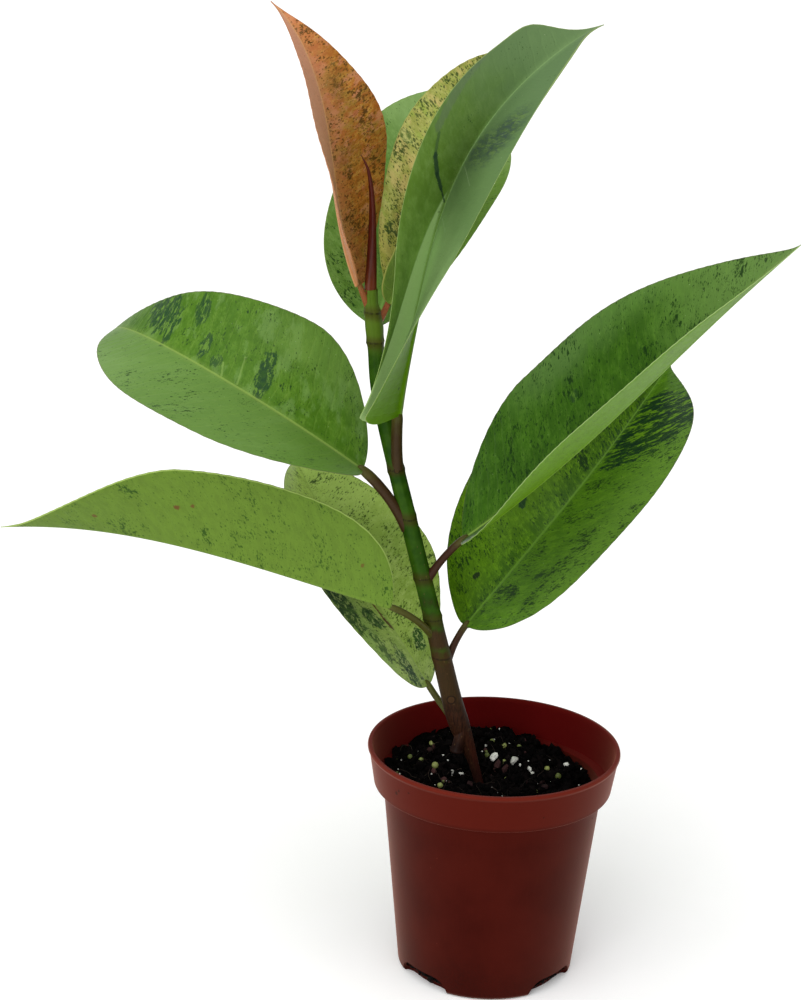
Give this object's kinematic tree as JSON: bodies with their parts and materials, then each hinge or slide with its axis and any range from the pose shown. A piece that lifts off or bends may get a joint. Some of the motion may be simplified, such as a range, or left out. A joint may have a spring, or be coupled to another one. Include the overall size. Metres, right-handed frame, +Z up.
{
  "type": "potted rubber plant",
  "caption": "Young rubber plant with mottled oval leaves on one leaning stem, standing in potting mix in a tapered plastic nursery pot.",
  "frame": {"origin": "centre of the pot's flat underside, on the surface that it stands on", "axes": "+Z up, along the pot's axis; -Y towards the side that the picture shows; +X to the right in the picture"},
  "size_m": [0.351, 0.2437, 0.4571],
  "materials": {
    "pot_plastic": "satin moulded plastic, terracotta red",
    "peat_mix": "damp black peat with white and yellow grains",
    "stem_bark": "smooth bark, brown below and green above",
    "sheath_skin": "glossy dark red skin",
    "leaf_mottled": "waxy pale green with dark flecks",
    "leaf_green": "waxy mid green with dark flecks",
    "leaf_cream": "waxy cream yellow with dark green specks",
    "leaf_orange": "soft waxy rust orange with olive flecks"
  },
  "bodies": {
    "root": {"pot": "pot_plastic", "potting_mix": "peat_mix", "stem": "stem_bark", "bud_sheath": "sheath_skin", "leaf_1_mottled": "leaf_mottled", "leaf_2_low_right": "leaf_green", "leaf_3_low_left": "leaf_green", "leaf_4_right": "leaf_green", "leaf_5_left": "leaf_green", "leaf_6_tall_front": "leaf_green", "leaf_7_top_back": "leaf_green", "leaf_8_cream": "leaf_cream", "leaf_9_young_orange": "leaf_orange"}
  },
  "joints": []
}
